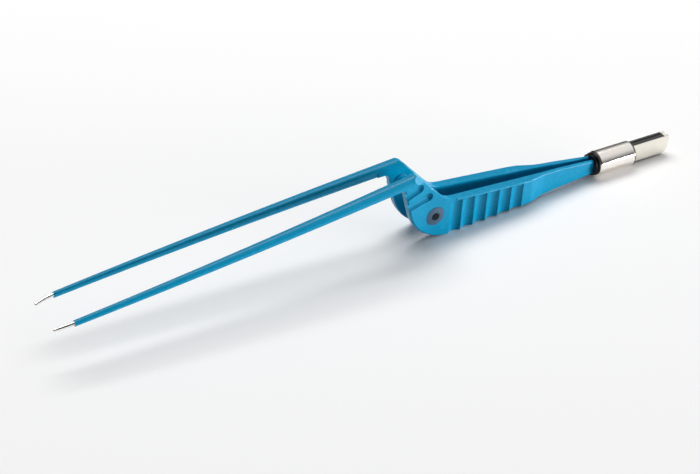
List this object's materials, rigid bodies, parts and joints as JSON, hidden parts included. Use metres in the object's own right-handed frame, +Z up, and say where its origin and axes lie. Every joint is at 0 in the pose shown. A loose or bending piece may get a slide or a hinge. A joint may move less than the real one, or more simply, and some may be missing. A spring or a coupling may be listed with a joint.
{
  "type": "bipolar forceps",
  "caption": "Slim bayonet forceps with coated sprung arms, bare fine tips, ribbed finger grips and a round plug body with flat contact blades.",
  "frame": {"origin": "centre of the footprint, on the surface that the heels and the plug's rear edge rest on", "axes": "+Z up, +X along the instrument from the tips towards the plug, -Y the arm with the near grip"},
  "size_m": [0.231, 0.0174, 0.027],
  "materials": {
    "coat_blue": "glossy nylon coat",
    "pad_blue": "glossy",
    "arm_steel": "polished",
    "sleeve_steel": "satin",
    "blade_nickel": "satin nickel",
    "ring_black": "smooth",
    "resin": "glossy",
    "core_black": "matte",
    "strip_black": "matte",
    "bush_grey": "satin",
    "pin_black": "glossy"
  },
  "bodies": {
    "plug": {"sleeve": "sleeve_steel", "front_ring": "ring_black", "resin_plug": "resin", "plug_core": "core_black", "blade_strip": "strip_black", "near_blade": "blade_nickel", "far_blade": "blade_nickel"},
    "near_half": {"near_arm": "arm_steel", "near_coat": "coat_blue", "near_stop_bush": "bush_grey", "near_stop_pin": "pin_black", "near_stop_pad": "pad_blue"},
    "far_half": {"far_arm": "arm_steel", "far_coat": "coat_blue", "far_stop_bush": "bush_grey", "far_stop_pin": "pin_black", "far_stop_pad": "pad_blue"}
  },
  "joints": [
    {"name": "near_flex", "type": "hinge", "parent": "plug", "child": "near_half", "pos_m": [0.08385, -0.00128, 0.00448], "axis": [-0.01, 0, -0.9999], "range_deg": [0, 1.78], "stiffness_Nm_per_rad": 3},
    {"name": "far_flex", "type": "hinge", "parent": "plug", "child": "far_half", "pos_m": [0.08385, 0.00128, 0.00448], "axis": [0.01, 0, 0.9999], "range_deg": [0, 1.78], "stiffness_Nm_per_rad": 3}
  ]
}
